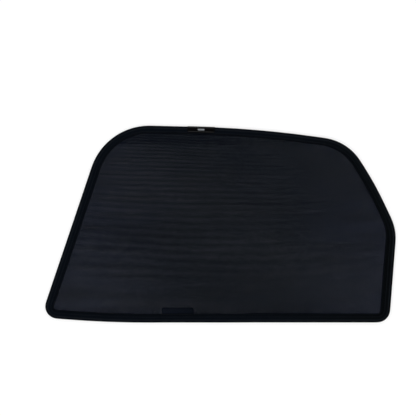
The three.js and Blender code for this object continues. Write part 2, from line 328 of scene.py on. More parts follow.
@dataclass(frozen=True)
class TapeFinish:
    """Matt woven polyester tape, with a painted highlight on its two ridges, painted shade at the seam's
    step and on the fold's outer flank, and painted light that shifts its tone towards the right side.
    """

    name: str = "woven_hem_tape"
    # Painted shade colour for the seam's step and the fold's outer flank, also the darkest tone of the
    # weave.
    painted_shade_and_weave_dark: Color = (0.0007, 0.0013, 0.0024)
    plain: Color = (0.0021, 0.0032, 0.0053)
    # Painted light: the tape's tone on the right side, where the light falls differently.
    right_side_painted_light: Color = (0.0018, 0.0024, 0.0029)
    # Painted highlight colour for the fold's crest and the band's inner shoulder.
    painted_highlight: Color = (0.0074, 0.0090, 0.0116)
    rib: float = 1.1 * MM
    yarn: float = 0.7 * MM
    relief: float = 0.12 * MM
    # Widths of the painted highlight on the crest and shoulder, and of the painted shade at the seam and
    # on the flank.
    crest_reach: float = 2.3 * MM
    shoulder_reach: float = 2.1 * MM
    shoulder_share: float = 0.45
    seam_reach: float = 2.4 * MM
    flank_reach: float = 3.6 * MM

    def make(self, flank: float, crest: float, shoulder: float, seam: float) -> bpy.types.Material:
        """Builds the tape's material.

        Args:
            flank: Where across the tape the fold's outermost line is.
            crest: Where the fold's crest is.
            shoulder: Where the raised band's inner shoulder is.
            seam: Where the seam's stitches are.

        Returns:
            The finished material.
        """
        shader = Shader(self.name, Roughness=0.88, Specular_IOR_Level=0.012)
        along, across = shader.flat("tape")
        x, _, _ = shader.axes(shader.place())
        on_crest = shader.ridge(across, crest, self.crest_reach)
        on_shoulder = shader.ridge(across, shoulder, self.shoulder_reach)
        # Painted light: the tape's tone shifts towards the right side.
        color = shader.mix(x.ramp(0.05, 0.40), self.plain, self.right_side_painted_light)
        # Painted shade at the seam's step and on the fold's outer flank.
        dark = shader.ridge(across, seam, self.seam_reach) + shader.ridge(across, flank, self.flank_reach)
        color = shader.mix(dark, color, self.painted_shade_and_weave_dark)
        # Painted highlight on the crest and, more faintly, on the shoulder.
        color = shader.mix(on_crest + on_shoulder * self.shoulder_share, color, self.painted_highlight)
        yarns = (along * (math.tau / self.yarn)).sine()
        ribs = (across * (math.tau / self.rib) + yarns * 0.5).sine()
        weave = ribs * 0.3 + yarns * 0.2 + 0.5
        worn = shader.noise(shader.place(), 55.0, 4.0, 0.6)
        level = weave * 0.3 + worn * 0.7
        tint = shader.mix(level, shade(self.painted_shade_and_weave_dark, 0.75), color)
        shader.set("Base Color", shader.mix(level.ramp(0.2, 0.75) * 0.7 + 0.3, tint, color))
        shader.set("Roughness", 0.9 + worn * 0.1)
        shader.set("Normal", shader.bump(weave * 0.7 + worn * 0.3, self.relief))
        return shader.material


@dataclass(frozen=True)
class YarnFinish:
    """Twisted sewing thread."""

    name: str = "twisted_sewing_thread"
    color: Color = (0.0075, 0.0085, 0.0105)
    twist: float = 0.55 * MM

    def make(self) -> bpy.types.Material:
        """Builds the thread's material."""
        shader = Shader(self.name, Roughness=0.6, Specular_IOR_Level=0.12)
        x, y, z = shader.axes(shader.place())
        strands = ((x + y + z) * (math.tau / self.twist)).sine() * 0.5 + 0.5
        fuzz = shader.noise(shader.place(), 900.0, 2.0)
        level = strands * 0.7 + fuzz * 0.3
        shader.set("Base Color", shader.mix(level, shade(self.color, 0.55), shade(self.color, 1.35)))
        shader.set("Normal", shader.bump(strands, 0.05 * MM))
        return shader.material


@dataclass(frozen=True)
class KnitFinish:
    """Black polyester yarn of the sun mesh, with a faint blue sheen, and painted light that makes it
    lighter towards its left and right ends and less so towards the top.
    """

    name: str = "knitted_sun_mesh"
    color: Color = (0.0026, 0.0041, 0.0078)
    # Painted light: the yarn's lighter colour towards the left and right ends.
    painted_light_end_color: Color = (0.0102, 0.0128, 0.0224)
    middle: float = 0.035
    painted_light_from: float = 0.08
    painted_light_full: float = 0.36
    bar: float = 13 * MM

    def make(self) -> bpy.types.Material:
        """Builds the mesh's material."""
        shader = Shader(self.name, Roughness=0.7, Specular_IOR_Level=0.012, Sheen_Weight=0.04)
        x, y, _ = shader.axes(shader.place())
        bars = shader.noise(shader.stretched((0.06, 1.0, 1.0), 0.035), 1 / self.bar, 2.0, 0.55)
        clouds = shader.noise(shader.place(), 7.0, 2.0)
        # Painted light, lighter away from the middle and less so towards the top.
        ends = (x - self.middle).size().ramp(self.painted_light_from, self.painted_light_full)
        ends = ends * (1 - 0.45 * y.ramp(-0.08, 0.14))
        level = bars * 0.55 + clouds * 0.25 + 0.1
        color = shader.mix(ends, self.color, self.painted_light_end_color)
        color = shader.mix(level.ramp(0.22, 0.72), shade(self.color, 0.55), color)
        shader.set("Base Color", color)
        yarn = shader.noise(shader.place(), 1400.0, 2.0)
        shader.set("Roughness", 0.62 + yarn * 0.2)
        shader.set("Normal", shader.bump(yarn, 0.05 * MM))
        return shader.material


@dataclass(frozen=True)
class PatchFinish:
    """Glossy black moulded label, with a thin pale line of painted highlight inside each long edge."""

    name: str = "moulded_label"
    color: Color = (0.0007, 0.0007, 0.0009)
    # Painted highlight colour of the two pale lines.
    line: Color = (0.038, 0.039, 0.040)
    line_reach: float = 0.84 * MM
    line_fade: float = 1.0 * MM

    def make(self, lines: tuple[float, float], half_length: float) -> bpy.types.Material:
        """Builds the label's material.

        Args:
            lines: How far across the label its two painted highlight lines lie.
            half_length: How far the lines reach from its middle.

        Returns:
            The finished material.
        """
        shader = Shader(self.name, Roughness=0.28, Specular_IOR_Level=0.018)
        along, across = shader.flat("patch")
        # Painted highlight: two pale lines where the label's glossy edges catch the light.
        first, second = (shader.ridge(across, line, self.line_reach) for line in lines)
        line = (first + second) * along.size().ramp(half_length, half_length - self.line_fade)
        grain = shader.noise(shader.place(), 1500.0, 3.0)
        # Uneven strength of the painted highlight along the lines.
        painted_highlight = shader.noise(shader.place(), 160.0, 4.0)
        color = shader.mix(line * (painted_highlight * 0.7 + 0.4), self.color, self.line)
        shader.set("Base Color", color)
        shader.set("Roughness", 0.20 + grain * 0.12 + line * 0.2)
        shader.set("Normal", shader.bump(grain, 0.015 * MM))
        return shader.material


class Metal(Enum):
    """The metals of the shade's hardware: colour, roughness and the stretch of its grain."""

    BADGE = ("brushed_badge_metal", (0.155, 0.165, 0.175), 0.34, (30.0, 900.0, 900.0))
    WIRE = ("drawn_spring_wire", (0.42, 0.43, 0.45), 0.36, (60.0, 60.0, 900.0))
    SLEEVE = ("crimped_sleeve_metal", (0.60, 0.60, 0.61), 0.42, (300.0, 900.0, 900.0))
    PLATING = ("nickel_plating", (0.60, 0.58, 0.54), 0.28, (250.0, 250.0, 250.0))

    def make(self) -> bpy.types.Material:
        """Builds this metal's material."""
        name, color, roughness, grain_scale = self.value
        shader = Shader(name, Metallic=1.0, Roughness=roughness)
        grain = shader.noise(shader.stretched(grain_scale), 1.0, 3.0)
        marks = shader.noise(shader.place(), 40.0, 3.0)
        shader.set("Base Color", shader.mix(marks, shade(color, 0.8), shade(color, 1.08)))
        shader.set("Roughness", roughness - 0.08 + grain * 0.16)
        shader.set("Normal", shader.bump(grain, 0.01 * MM))
        return shader.material


@dataclass(frozen=True)
class RibbonFinish:
    """Dark satin ribbon of the tag, with a fine diagonal weave."""

    name: str = "satin_ribbon"
    color: Color = (0.0038, 0.0048, 0.0058)
    yarn: float = 0.5 * MM

    def make(self) -> bpy.types.Material:
        """Builds the ribbon's material."""
        shader = Shader(self.name, Roughness=0.7, Specular_IOR_Level=0.05)
        x, y, _ = shader.axes(shader.place())
        twill = ((x + y * 0.6) * (math.tau / self.yarn)).sine() * 0.5 + 0.5
        worn = shader.noise(shader.place(), 120.0, 3.0)
        level = twill * 0.5 + worn * 0.5
        shader.set("Base Color", shader.mix(level, shade(self.color, 0.7), shade(self.color, 1.4)))
        shader.set("Roughness", 0.62 + worn * 0.16)
        shader.set("Normal", shader.bump(twill, 0.05 * MM))
        return shader.material


# Modelling helpers


def read_places(obj: bpy.types.Object) -> Places:
    """Reads a mesh's vertices.

    Args:
        obj: The mesh object.

    Returns:
        One row of x, y and z for each vertex.
    """
    places = np.empty(len(obj.data.vertices) * 3)
    obj.data.vertices.foreach_get("co", places)
    return places.reshape(-1, 3)


def write_places(obj: bpy.types.Object, places: Places) -> None:
    """Moves a mesh's vertices to new places."""
    obj.data.vertices.foreach_set("co", np.ascontiguousarray(places, dtype=float).ravel())
    obj.data.update()


def make_piece(name: str, places: Places, faces: list, smooth: bool = True) -> bpy.types.Object:
    """Makes an object from places and faces.

    Args:
        name: The piece's name.
        places: One row for each vertex.
        faces: Vertex numbers of each face, outward side first.
        smooth: True for smooth shading.

    Returns:
        The new object, at the origin.
    """
    mesh = bpy.data.meshes.new(name)
    mesh.from_pydata(places.tolist(), [], faces)
    mesh.polygons.foreach_set("use_smooth", [smooth] * len(mesh.polygons))
    mesh.update()
    obj = bpy.data.objects.new(name, mesh)
    bpy.context.collection.objects.link(obj)
    return obj


def pick(obj: bpy.types.Object) -> None:
    """Makes one object the only selected and active one."""
    bpy.ops.object.select_all(action="DESELECT")
    obj.select_set(True)
    bpy.context.view_layer.objects.active = obj


def select_faces(obj: bpy.types.Object, wanted: Callable[[bpy.types.MeshPolygon], bool]) -> None:
    """Selects faces by a test and leaves the object in edit mode.

    Args:
        obj: The mesh object, in edit mode.
        wanted: Says whether a face is to be selected.
    """
    bpy.ops.mesh.select_mode(type="FACE")
    bpy.ops.mesh.select_all(action="DESELECT")
    bpy.ops.object.mode_set(mode="OBJECT")
    for face in obj.data.polygons:
        face.select = wanted(face)
    bpy.ops.object.mode_set(mode="EDIT")


def select_edges(obj: bpy.types.Object, wanted: Callable[[Vector, Vector], bool]) -> None:
    """Selects edges by a test on their two ends and leaves the object in edit mode.

    Args:
        obj: The mesh object, in edit mode.
        wanted: Says whether an edge is to be selected.
    """
    bpy.ops.mesh.select_mode(type="EDGE")
    bpy.ops.mesh.select_all(action="DESELECT")
    bpy.ops.object.mode_set(mode="OBJECT")
    points = obj.data.vertices
    for edge in obj.data.edges:
        edge.select = wanted(points[edge.vertices[0]].co, points[edge.vertices[1]].co)
    bpy.ops.object.mode_set(mode="EDIT")


def apply_modifier(obj: bpy.types.Object, kind: str, **settings: Union[float, int, str]) -> None:
    """Adds a modifier and applies it.

    Args:
        obj: The object to change.
        kind: The modifier's type.
        settings: The modifier's settings.
    """
    pick(obj)
    modifier = obj.modifiers.new(kind.lower(), kind)
    for key, value in settings.items():
        setattr(modifier, key, value)
    bpy.ops.object.modifier_apply(modifier=modifier.name)


def dress(obj: bpy.types.Object, material: bpy.types.Material, slot: str, *nodes: str) -> None:
    """Gives a piece its finish and ties it to the frame.

    Args:
        obj: The finished piece.
        material: Its material.
        slot: Not used.
        nodes: The CAD nodes it stands for.
    """
    obj.data.materials.clear()
    obj.data.materials.append(material)
    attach(obj, "root")
    if nodes:
        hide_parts(*nodes)
    LOG.info("%s: %d faces", obj.name, len(obj.data.polygons))


def soften_edges(obj: bpy.types.Object, width: float, segments: int, angle: float) -> None:
    """Rounds a piece's sharp edges.

    Args:
        obj: The piece.
        width: The rounding's width.
        segments: How many faces it has across.
        angle: The least bend, in degrees, of an edge that is rounded.
    """
    limit = math.radians(angle)
    apply_modifier(obj, "BEVEL", width=width, segments=segments, limit_method="ANGLE", angle_limit=limit)


def smooth_round(values: np.ndarray, reach: float) -> np.ndarray:
    """Smooths values round a closed loop.

    Args:
        values: One row for each station.
        reach: The blur's spread, in stations.

    Returns:
        The smoothed values.
    """
    count = len(values)
    turns = np.fft.fftfreq(count)
    damping = np.exp(-2 * (math.pi * reach * turns) ** 2)
    shape = (count,) + (1,) * (values.ndim - 1)
    return np.real(np.fft.ifft(np.fft.fft(values, axis=0) * damping.reshape(shape), axis=0))


def ripple(rng: np.random.Generator, count: int, reach: float) -> np.ndarray:
    """Soft random swells round a closed loop.

    Args:
        rng: The source of chance.
        count: How many stations the loop has.
        reach: The swells' spread, in stations.

    Returns:
        Values about zero, nearly all between -1 and 1.
    """
    values = smooth_round(rng.standard_normal(count), reach)
    return values / (2.0 * values.std())


# Outline


@dataclass
class Rim:
    """The hem's outline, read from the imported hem, as even stations counter-clockwise."""

    outer: Places
    inward: Places
    width: np.ndarray
    along: np.ndarray
    length: float

    @classmethod
    def from_hem(
        cls,
        hem: bpy.types.Object,
        widest: float = 3.1 * MM,
        least_hem: float = 12 * MM,
        fine_step: float = 0.5 * MM,
        spacing: float = 2.5 * MM,
        blur: float = 4 * MM,
    ) -> "Rim":
        """Reads the rim's and the inner edge's lines from the hem.

        Args:
            hem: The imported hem.
            widest: The height at which the hem's fold reaches furthest out.
            least_hem: Less than the hem's least width.
            fine_step: The step at which the outline is smoothed.
            spacing: The distance between stations.
            blur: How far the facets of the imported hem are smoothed.

        Returns:
            The outline.
        """
        places = read_places(hem)
        level = places[np.abs(places[:, 2] - widest) < 0.03 * MM][:, :2]
        outer = cls.hull(level)
        base = np.unique(np.round(places[np.abs(places[:, 2]) < 0.01 * MM][:, :2], 7), axis=0)
        base_hull = cls.hull(base)
        on_hull = np.array([np.min(np.hypot(*(base_hull - point).T)) < 1e-6 for point in base])
        depth = np.array([cls.depth_in(outer, point) for point in base])
        inner = base[(~on_hull) & (depth > least_hem)]
        inner = inner[np.argsort(np.arctan2(inner[:, 1], inner[:, 0]))]
        fine = cls.resample(outer, fine_step)
        fine = smooth_round(fine, blur / fine_step)
        stations = cls.resample(fine, spacing)
        tangent = np.roll(stations, -1, axis=0) - np.roll(stations, 1, axis=0)
        tangent = smooth_round(tangent, 2.0)
        tangent /= np.hypot(*tangent.T)[:, None]
        inward = np.stack([-tangent[:, 1], tangent[:, 0]], axis=1)
        width = np.array([cls.reach(point, way, inner) for point, way in zip(stations, inward)])
        width = smooth_round(width, 3.0)
        steps = np.hypot(*(np.roll(stations, -1, axis=0) - stations).T)
        along = np.concatenate([[0.0], np.cumsum(steps)[:-1]])
        return cls(stations, inward, width, along, float(steps.sum()))

    @staticmethod
    def hull(points: Places) -> Places:
        """The convex outline of flat points, counter-clockwise.

        Args:
            points: One row of x and y for each point.

        Returns:
            The outline's points.
        """
        rows = sorted({(round(float(x), 7), round(float(y), 7)) for x, y in points})

        def half(ordered: list) -> list:
            """One half of the outline."""
            kept: list = []
            for x, y in ordered:
                while len(kept) > 1:
                    (ax, ay), (bx, by) = kept[-2], kept[-1]
                    if (bx - ax) * (y - ay) - (by - ay) * (x - ax) > 0:
                        break
                    kept.pop()
                kept.append((x, y))
            return kept[:-1]

        return np.array(half(rows) + half(rows[::-1]))

    @staticmethod
    def depth_in(loop: Places, point: Places) -> float:
        """How far a point lies inside a convex loop."""
        ahead = np.roll(loop, -1, axis=0) - loop
        ahead /= np.hypot(*ahead.T)[:, None]
        off = point - loop
        return float(np.min(ahead[:, 0] * off[:, 1] - ahead[:, 1] * off[:, 0]))

    @staticmethod
    def resample(loop: Places, spacing: float) -> Places:
        """Places even stations round a closed loop.

        Args:
            loop: The loop's points.
            spacing: About how far apart the stations are.

        Returns:
            The stations.
        """
        closed = np.vstack([loop, loop[:1]])
        run = np.concatenate([[0.0], np.cumsum(np.hypot(*np.diff(closed, axis=0).T))])
        count = int(round(run[-1] / spacing))
        at = np.arange(count) * run[-1] / count
        return np.stack([np.interp(at, run, closed[:, 0]), np.interp(at, run, closed[:, 1])], axis=1)

    @staticmethod
    def reach(point: Places, way: Places, loop: Places) -> float:
        """How far it is from a point to a loop in one direction.

        Args:
            point: Where the line starts.
            way: Its direction.
            loop: The closed loop that it meets.

        Returns:
            The least distance above zero.
        """
        ends = np.roll(loop, -1, axis=0)
        side = ends - loop
        off = loop - point
        cross = way[0] * side[:, 1] - way[1] * side[:, 0]
        cross = np.where(np.abs(cross) < 1e-12, 1e-12, cross)
        distance = (off[:, 0] * side[:, 1] - off[:, 1] * side[:, 0]) / cross
        share = (off[:, 0] * way[1] - off[:, 1] * way[0]) / cross
        met = (share >= -1e-6) & (share <= 1 + 1e-6) & (distance > 0)
        return float(distance[met].min())

    def around(self, values: np.ndarray, at: np.ndarray) -> np.ndarray:
        """Reads values between stations.

        Args:
            values: One row for each station.
            at: Distances round the rim.

        Returns:
            One row for each distance.
        """
        flat = values.reshape(len(values), -1)
        columns = [np.interp(at, self.along, column, period=self.length) for column in flat.T]
        return np.stack(columns, axis=-1).reshape(np.shape(at) + values.shape[1:])

    def from_rim(self, distance: float) -> Places:
        """The line a distance inside the rim."""
        return self.outer + self.inward * distance

    def station_near(self, x: float, y: float) -> float:
        """How far round the rim the nearest point to x, y is."""
        gaps = np.hypot(self.outer[:, 0] - x, self.outer[:, 1] - y)
        return float(self.along[int(gaps.argmin())])


# Hem


class Line(Enum):
    """The line that a distance across the hem is counted from."""

    RIM = "rim"
    EDGE = "inner edge"


class Point(NamedTuple):
    """One point of the tape's section, in millimetres."""

    line: Line
    distance: float
    height: float


@dataclass
class Hem:
    """Tape folded over the rim, sewn to the mesh along its inner edge, with magnets behind it."""

    rim: Rim
    magnets: list[bpy.types.Object]
    tape: float = 0.8 * MM
    fold_radius: float = 3.1 * MM
    fold_steps: int = 12
    lining_steps: int = 8
    plateau: float = 5.8 * MM
    seam_top: float = 3.5 * MM
    seam_inset: float = 1.2 * MM
    front_from: float = 2.6
    band_middle: float = 9.6 * MM
    band_reach: float = 4.2 * MM
    swell: float = 0.10 * MM
    slack: float = 0.32 * MM
    lift: float = 0.06 * MM
    step_middle: float = 15.2 * MM
    step_reach: float = 2.4 * MM
    pucker: float = 0.26 * MM
    lining_pucker: float = 0.6
    waver: float = 0.25 * MM
    sway: float = 0.16 * MM
    back_from: float = 6 * MM
    back_seam_from: float = 14 * MM
    back_pucker: float = 0.05 * MM
    magnet_half: float = 15 * MM
    magnet_fade: float = 5 * MM
    flat_width: float = 46 * MM
    seed: int = 11
    marks: list[int] = field(default_factory=list)
    mark_places: list[float] = field(default_factory=list)

    def fold(self, radius: float, steps: int) -> list[Point]:
        """The half round over the rim.

        Args:
            radius: The half round's radius.
            steps: How many straight pieces it has.

        Returns:
            Its points, from the back to the front.
        """
        middle = self.fold_radius / MM
        reach = radius / MM
        points = []
        for step in range(steps + 1):
            angle = math.radians(270 - 180 * step / steps)
            height = middle + reach * math.sin(angle)
            points.append(Point(Line.RIM, middle + reach * math.cos(angle), height))
        return points

    def section(self) -> tuple[list[Point], list[Point]]:
        """Draws the tape's section and marks the fold's flank and crest, the shoulder and the seam.

        Returns:
            The outer skin and the inner skin, each from the back's inner edge to the front's.
        """
        rim, edge = Line.RIM, Line.EDGE
        seam = self.seam_inset / MM
        top = self.plateau / MM
        low = self.seam_top / MM
        back = [(edge, 0.0, 0.12), (edge, 0.25, 0.0), (edge, 0.8, 0.02), (edge, seam, 0.30)]
        back += [(edge, 1.7, 0.02), (edge, 2.6, 0.0), (rim, 9.0, 0.0)]
        fold = self.fold(self.fold_radius, self.fold_steps)
        band = [(rim, 4.2, top + 0.20), (rim, 5.6, top), (rim, 7.6, top - 0.04), (rim, 9.6, top)]
        band += [(rim, 11.6, top + 0.10), (rim, 13.2, top + 0.06)]
        step = [(rim, 14.1, top - 0.32), (rim, 14.7, top - 1.0), (rim, 15.2, low + 0.55)]
        step += [(rim, 15.9, low + 0.16), (edge, 2.4, low + 0.10), (edge, 1.75, low + 0.02)]
        leg = [(edge, seam, low - 0.30), (edge, 0.7, low), (edge, 0.25, low + 0.02)]
        leg += [(edge, 0.0, low - 0.14)]
        outer = [Point(*point) for point in back + fold + band + step + leg]
        before = len(back) + len(fold)
        shoulder = before + len(band) - 1
        self.marks = [len(back) + self.fold_steps // 2, before + 1, shoulder, before + len(band + step)]
        tape = self.tape / MM
        under = [(edge, 0.0, tape - 0.05), (edge, 3.0, tape), (rim, 9.0, tape)]
        over = [(rim, 5.5, top - tape), (rim, 9.6, top - tape), (rim, 13.6, top - tape), (rim, 14.7, 2.75)]
        over += [(edge, 2.4, low - tape), (edge, 0.0, low - tape)]
        lining = self.fold(self.fold_radius - self.tape, self.lining_steps)
        return outer, [Point(*point) for point in under + lining + over]

    def over_magnets(self) -> np.ndarray:
        """How far each station is on a magnet: 1 on it and 0 well beside it."""
        shares = np.zeros(len(self.rim.along))
        half_way = self.rim.length / 2
        for magnet in self.magnets:
            middle = read_places(magnet).mean(axis=0)
            at = self.rim.station_near(middle[0], middle[1])
            gap = np.abs((self.rim.along - at + half_way) % self.rim.length - half_way)
            shares = np.maximum(shares, np.clip((self.magnet_half - gap) / self.magnet_fade, 0.0, 1.0))
        return smooth_round(shares, 1.2)

    def inset(self, point: Point) -> np.ndarray:
        """Distances from the rim of one point of the section, for each station."""
        if point.line is Line.RIM:
            return np.full(len(self.rim.along), point.distance * MM)
        return self.rim.width - point.distance * MM

    def build(self) -> bpy.types.Object:
        """Sweeps the section round the rim, with puckers along the seam and swells over the magnets.

        Returns:
            The hem.
        """
        rng = np.random.default_rng(self.seed)
        count = len(self.rim.along)
        outer, inner = self.section()
        held = self.over_magnets()
        puckers = ripple(rng, count, 1.3)
        swells = ripple(rng, count, 7.0)
        sway = ripple(rng, count, 16.0)
        on_magnets = self.swell * swells - self.slack * (1 - held) + self.lift

        def near(place: float, middle: float, reach: float) -> float:
            """1 in a band's middle, falling off on both sides."""
            return math.exp(-(((place - middle) / reach) ** 2))

        rows = []
        across = []
        for points, outside in ((outer, True), (inner[::-1], False)):
            run = 0.0
            last = None
            for point in points:
                inset = self.inset(point)
                off_rim = float(np.mean(inset))
                front = point.height > self.front_from
                on_band = near(off_rim, self.band_middle, self.band_reach) if front else 0.0
                on_step = near(off_rim, self.step_middle, self.step_reach) if front else 0.0
                share = 1.0 if outside else self.lining_pucker
                z = point.height * MM + on_band * on_magnets + on_step * self.pucker * puckers * share
                if outside and not front and off_rim > self.back_from:
                    share = 1.0 if off_rim > self.back_seam_from else 0.3
                    z = z + np.maximum(self.back_pucker * puckers * share, 0.0)
                inset = inset + on_step * self.waver * puckers + self.sway * sway
                places = self.rim.outer + self.rim.inward * inset[:, None]
                rows.append(np.column_stack([places, z]))
                here = np.array([off_rim, point.height * MM])
                run += 0.0 if last is None else float(np.hypot(*(here - last)))
                last = here
                across.append(run)
        self.measure_lining(rows, across, len(outer))
        obj = self.skin(rows)
        self.lay_flat(obj, across, count)
        return obj

    @staticmethod
    def measure_lining(rows: list, across: list, first: int) -> None:
        """Measures the lining back from the front's edge.

        Args:
            rows: The lines round the rim, outer skin first.
            across: The place across the tape of each line, set here for the lining.
            first: The number of the lining's first line.
        """
        back = max(across[:first])
        for i in range(first, len(rows)):
            if i > first:
                back -= float(np.mean(np.hypot(*(rows[i] - rows[i - 1])[:, :2].T)))
            across[i] = max(back, 0.0)
            back = across[i]

    def skin(self, rows: list) -> bpy.types.Object:
        """Joins closed lines into one closed skin.

        Args:
            rows: The lines round the rim, in order round the section.

        Returns:
            The hem's object.
        """
        count = len(rows[0])
        lines = len(rows)
        faces = []
        for i in range(lines):
            here = i * count
            there = ((i + 1) % lines) * count
            for k in range(count):
                ahead = (k + 1) % count
                faces.append((here + k, there + k, there + ahead, here + ahead))
        return make_piece("hem_tape", np.vstack(rows), faces)

    def lay_flat(self, obj: bpy.types.Object, across: list, count: int) -> None:
        """Gives the tape a UV map in metres: along the rim, and across the tape.

        Args:
            obj: The hem.
            across: The place across the tape of each line.
            count: How many stations there are.
        """
        layer = obj.data.uv_layers.new(name="tape")
        lines = len(across)
        around = np.append(self.rim.along, self.rim.length)
        values = []
        for i in range(lines):
            low = across[i]
            high = across[(i + 1) % lines]
            for k in range(count):
                values += [around[k], low, around[k], high, around[k + 1], high, around[k + 1], low]
        layer.data.foreach_set("uv", values)
        self.mark_places = [across[line] for line in self.marks]

    def finish(self, obj: bpy.types.Object) -> None:
        dress(obj, TapeFinish().make(*self.mark_places), "tape_cloth", "edge_binding")


@dataclass
class Seam:
    """Lock stitches along the hem's inner edge, a row in front and a row behind."""

    rim: Rim
    pitch: float = 3.0 * MM
    length: float = 2.75 * MM
    radius: float = 0.24 * MM
    bow: float = 0.22 * MM
    inset: float = 1.2 * MM
    front: float = 3.42 * MM
    back: float = 0.27 * MM
    end_taper: float = 0.45
    front_bow: float = 0.9
    back_bow: float = 0.5
    drift_along: float = 0.10 * MM
    drift_across: float = 0.06 * MM
    turn: float = 0.07
    seed: int = 5

    def stitch(self) -> bpy.types.Object:
        """Models one stitch as a short bowed length of thread.

        Returns:
            The stitch, lying along X with its bow up.
        """
        bpy.ops.object.select_all(action="DESELECT")
        bpy.ops.mesh.primitive_cylinder_add(vertices=6, radius=self.radius, depth=self.length)
        obj = bpy.context.active_object
        bpy.ops.object.mode_set(mode="EDIT")
        for share in (0.12, 0.5, 0.88):
            bpy.ops.mesh.select_all(action="SELECT")
            height = self.length * (share - 0.5)
            bpy.ops.mesh.bisect(plane_co=(0, 0, height), plane_no=(0, 0, 1))
        bpy.ops.object.mode_set(mode="OBJECT")
        places = read_places(obj)
        along = places[:, 2].copy()
        taper = np.where(np.abs(along) > self.length * 0.49, self.end_taper, 1.0)
        bow = self.bow * (1 - (2 * along / self.length) ** 2)
        write_places(obj, np.stack([along, places[:, 1] * taper, places[:, 0] * taper + bow], axis=1))
        bpy.ops.object.mode_set(mode="EDIT")
        bpy.ops.mesh.select_all(action="SELECT")
        bpy.ops.mesh.normals_make_consistent(inside=False)
        bpy.ops.object.mode_set(mode="OBJECT")
        return obj

    def build(self) -> bpy.types.Object:
        """Copies the stitch along both rows.

        Returns:
            All the stitches as one piece.
        """
        rng = np.random.default_rng(self.seed)
        one = self.stitch()
        shape = read_places(one)
        faces = [tuple(face.vertices) for face in one.data.polygons]
        bpy.data.objects.remove(one)
        number = int(self.rim.length / self.pitch)
        step = self.rim.length / number
        parts = []
        rows = ((1, self.front, self.front_bow, 0.0), (-1, self.back, self.back_bow, 0.5))
        for side, height, bow, start in rows:
            at = (np.arange(number) + start) * step + rng.normal(0, self.drift_along, number)
            centre = self.rim.around(self.rim.outer, at)
            inward = self.rim.around(self.rim.inward, at)
            inward /= np.hypot(*inward.T)[:, None]
            inset = self.rim.around(self.rim.width, at) - self.inset
            inset += rng.normal(0, self.drift_across, number)
            centre = centre + inward * inset[:, None]
            turn = rng.normal(0, self.turn, number)
            ahead = np.stack([inward[:, 1], -inward[:, 0]], axis=1)
            ahead = ahead * np.cos(turn)[:, None] + inward * np.sin(turn)[:, None]
            across = np.stack([-ahead[:, 1], ahead[:, 0]], axis=1)
            body = centre[:, None, :] + ahead[:, None, :] * shape[None, :, :1]
            body = body + across[:, None, :] * shape[None, :, 1:2] * side
            z = height + shape[None, :, 2] * side * bow * np.ones((number, 1))
            parts.append(np.concatenate([body, z[:, :, None]], axis=2).reshape(-1, 3))
        places = np.vstack(parts)
        size = len(shape)
        all_faces = [tuple(i + k * size for i in face) for k in range(2 * number) for face in faces]
        return make_piece("seam_stitches", places, all_faces)

    def finish(self, obj: bpy.types.Object) -> None:
        """Dresses the stitches in sewing thread."""
        dress(obj, YarnFinish().make(), "sewing_thread", "seam_thread")


# Sun mesh


